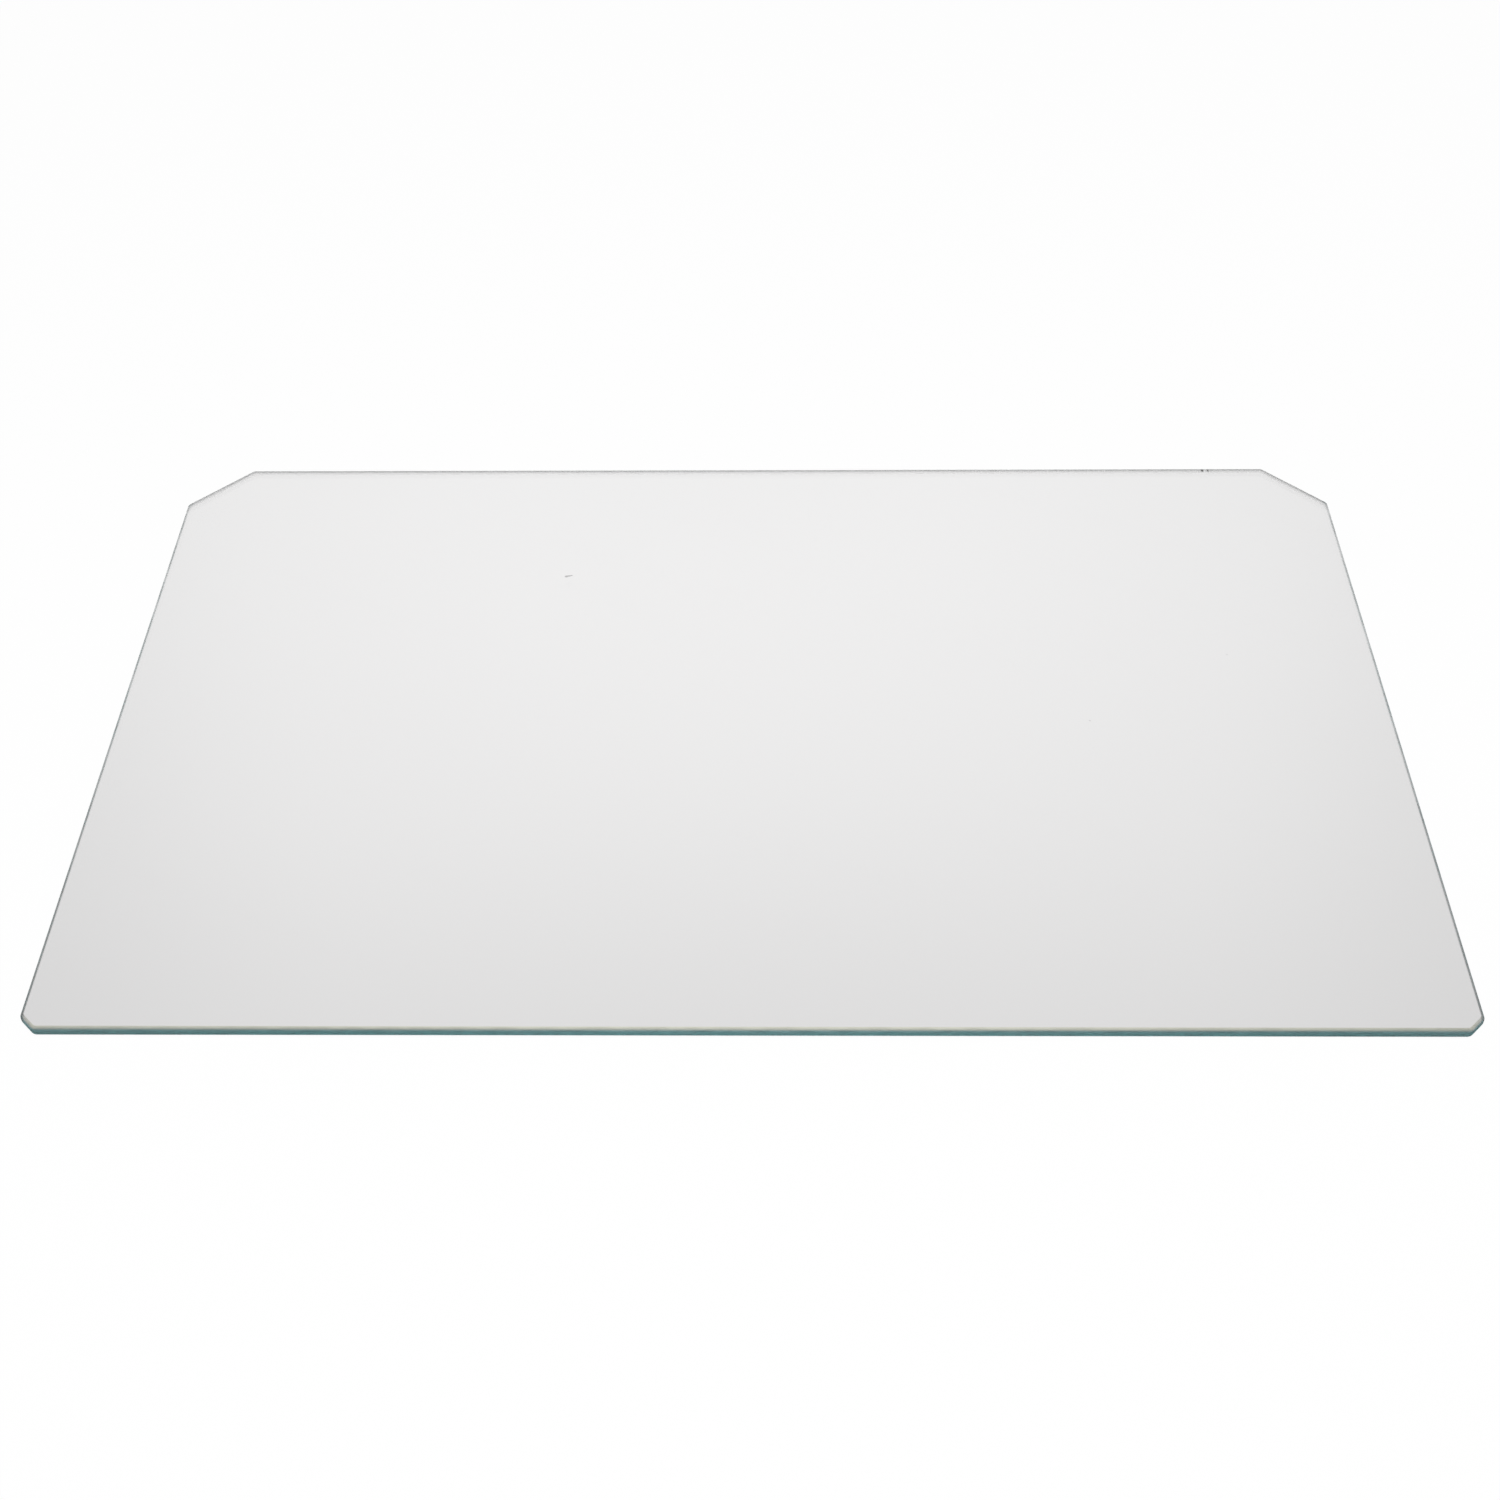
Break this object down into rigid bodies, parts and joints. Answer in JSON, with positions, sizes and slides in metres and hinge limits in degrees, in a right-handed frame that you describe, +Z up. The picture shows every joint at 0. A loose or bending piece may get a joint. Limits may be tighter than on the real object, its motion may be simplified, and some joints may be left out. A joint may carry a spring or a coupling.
{
  "type": "fridge glass shelf",
  "caption": "Flat pane of clear toughened glass, clipped at its corners, larger at the rear, with a ground rounded edge all round; lies loose on side ledges as a fridge shelf.",
  "frame": {"origin": "middle of the underside, the face that lies on the side ledges", "axes": "+X to the right along the long side, +Y to the rear where the large corner clips are, +Z up out of the top face"},
  "size_m": [0.475, 0.3, 0.004],
  "materials": {
    "glass": "clear polished faces, satin ground edge that shows green"
  },
  "bodies": {
    "root": {"glass_shelf": "glass"}
  },
  "joints": []
}
